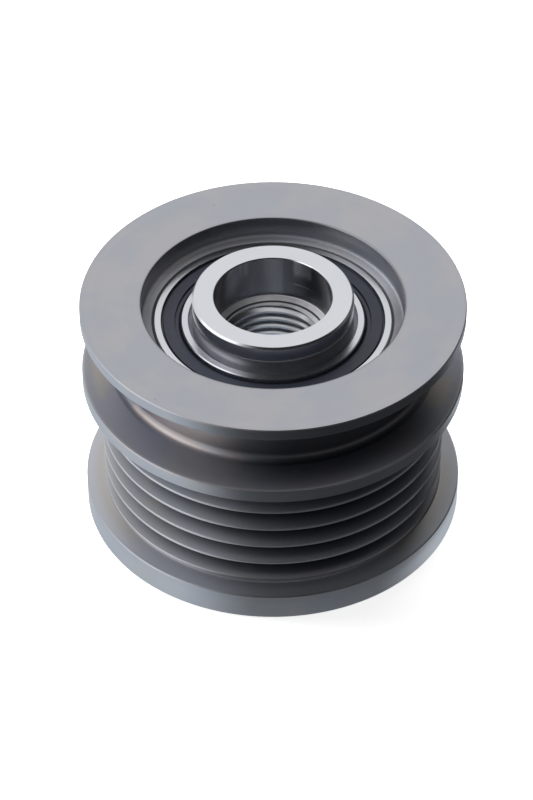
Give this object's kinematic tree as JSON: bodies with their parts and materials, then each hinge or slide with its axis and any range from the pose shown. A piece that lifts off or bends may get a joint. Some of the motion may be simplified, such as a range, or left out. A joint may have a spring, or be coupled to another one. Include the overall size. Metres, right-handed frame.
{
  "type": "alternator pulley",
  "caption": "Overrunning alternator pulley: a V groove above ribbed-belt grooves, turning on sealed bearings and a roller clutch around a threaded hub.",
  "frame": {"origin": "centre of the bottom rim, on the plane the pulley stands on", "axes": "+Z along the spin axis, towards the end that faces the alternator"},
  "size_m": [0.0596, 0.0596, 0.04],
  "materials": {
    "pulley_steel": "turned and blackened grey steel, satin",
    "hub_steel": "fine ground bright steel",
    "bearing_steel": "ground bearing steel",
    "ball_steel": "polished",
    "clutch_steel": "hardened and ground",
    "spring_steel": "blue-grey strip",
    "seal_rubber": "moulded nitrile rubber",
    "cage_brass": "satin",
    "cage_plastic": "glass-filled nylon"
  },
  "bodies": {
    "pulley": {"pulley": "pulley_steel", "rear_bearing_outer_ring": "bearing_steel", "rear_bearing_outer_seal": "seal_rubber", "rear_bearing_inner_seal": "seal_rubber", "front_bearing_outer_ring": "bearing_steel", "front_bearing_outer_seal": "seal_rubber", "front_bearing_inner_seal": "seal_rubber", "clutch_outer_ring": "clutch_steel"},
    "hub": {"hub": "hub_steel", "rear_bearing_inner_ring": "bearing_steel", "front_bearing_inner_ring": "bearing_steel", "clutch_cam_ring": "clutch_steel", "clutch_cage": "cage_plastic", "clutch_roller_1": "ball_steel", "clutch_roller_2": "ball_steel", "clutch_roller_3": "ball_steel", "clutch_roller_4": "ball_steel", "clutch_roller_5": "ball_steel", "clutch_roller_6": "ball_steel", "clutch_roller_7": "ball_steel", "clutch_roller_8": "ball_steel", "clutch_spring_1": "spring_steel", "clutch_spring_2": "spring_steel", "clutch_spring_3": "spring_steel", "clutch_spring_4": "spring_steel", "clutch_spring_5": "spring_steel", "clutch_spring_6": "spring_steel", "clutch_spring_7": "spring_steel", "clutch_spring_8": "spring_steel"},
    "rear_ball_set": {"rear_bearing_cage": "cage_brass", "rear_bearing_ball_1": "ball_steel", "rear_bearing_ball_2": "ball_steel", "rear_bearing_ball_3": "ball_steel", "rear_bearing_ball_4": "ball_steel", "rear_bearing_ball_5": "ball_steel", "rear_bearing_ball_6": "ball_steel", "rear_bearing_ball_7": "ball_steel", "rear_bearing_ball_8": "ball_steel", "rear_bearing_ball_9": "ball_steel", "rear_bearing_ball_10": "ball_steel", "rear_bearing_ball_11": "ball_steel", "rear_bearing_ball_12": "ball_steel", "rear_bearing_ball_13": "ball_steel", "rear_bearing_ball_14": "ball_steel"},
    "front_ball_set": {"front_bearing_cage": "cage_brass", "front_bearing_ball_1": "ball_steel", "front_bearing_ball_2": "ball_steel", "front_bearing_ball_3": "ball_steel", "front_bearing_ball_4": "ball_steel", "front_bearing_ball_5": "ball_steel", "front_bearing_ball_6": "ball_steel", "front_bearing_ball_7": "ball_steel", "front_bearing_ball_8": "ball_steel", "front_bearing_ball_9": "ball_steel", "front_bearing_ball_10": "ball_steel", "front_bearing_ball_11": "ball_steel", "front_bearing_ball_12": "ball_steel", "front_bearing_ball_13": "ball_steel", "front_bearing_ball_14": "ball_steel"}
  },
  "joints": [
    {"name": "hub_spin", "type": "hinge", "parent": "pulley", "child": "hub", "pos_m": [0, 0, 0.0195], "axis": [0, 0, 1], "continuous": true},
    {"name": "rear_ball_orbit", "type": "hinge", "parent": "pulley", "child": "rear_ball_set", "pos_m": [0, 0, 0.03192], "axis": [0, 0, 1], "continuous": true},
    {"name": "front_ball_orbit", "type": "hinge", "parent": "pulley", "child": "front_ball_set", "pos_m": [0, 0, 0.0071], "axis": [0, 0, 1], "continuous": true}
  ],
  "couplings": [
    {"joint": "rear_ball_orbit", "follows": "hub_spin", "ratio": 0.44355},
    {"joint": "front_ball_orbit", "follows": "hub_spin", "ratio": 0.44355}
  ]
}
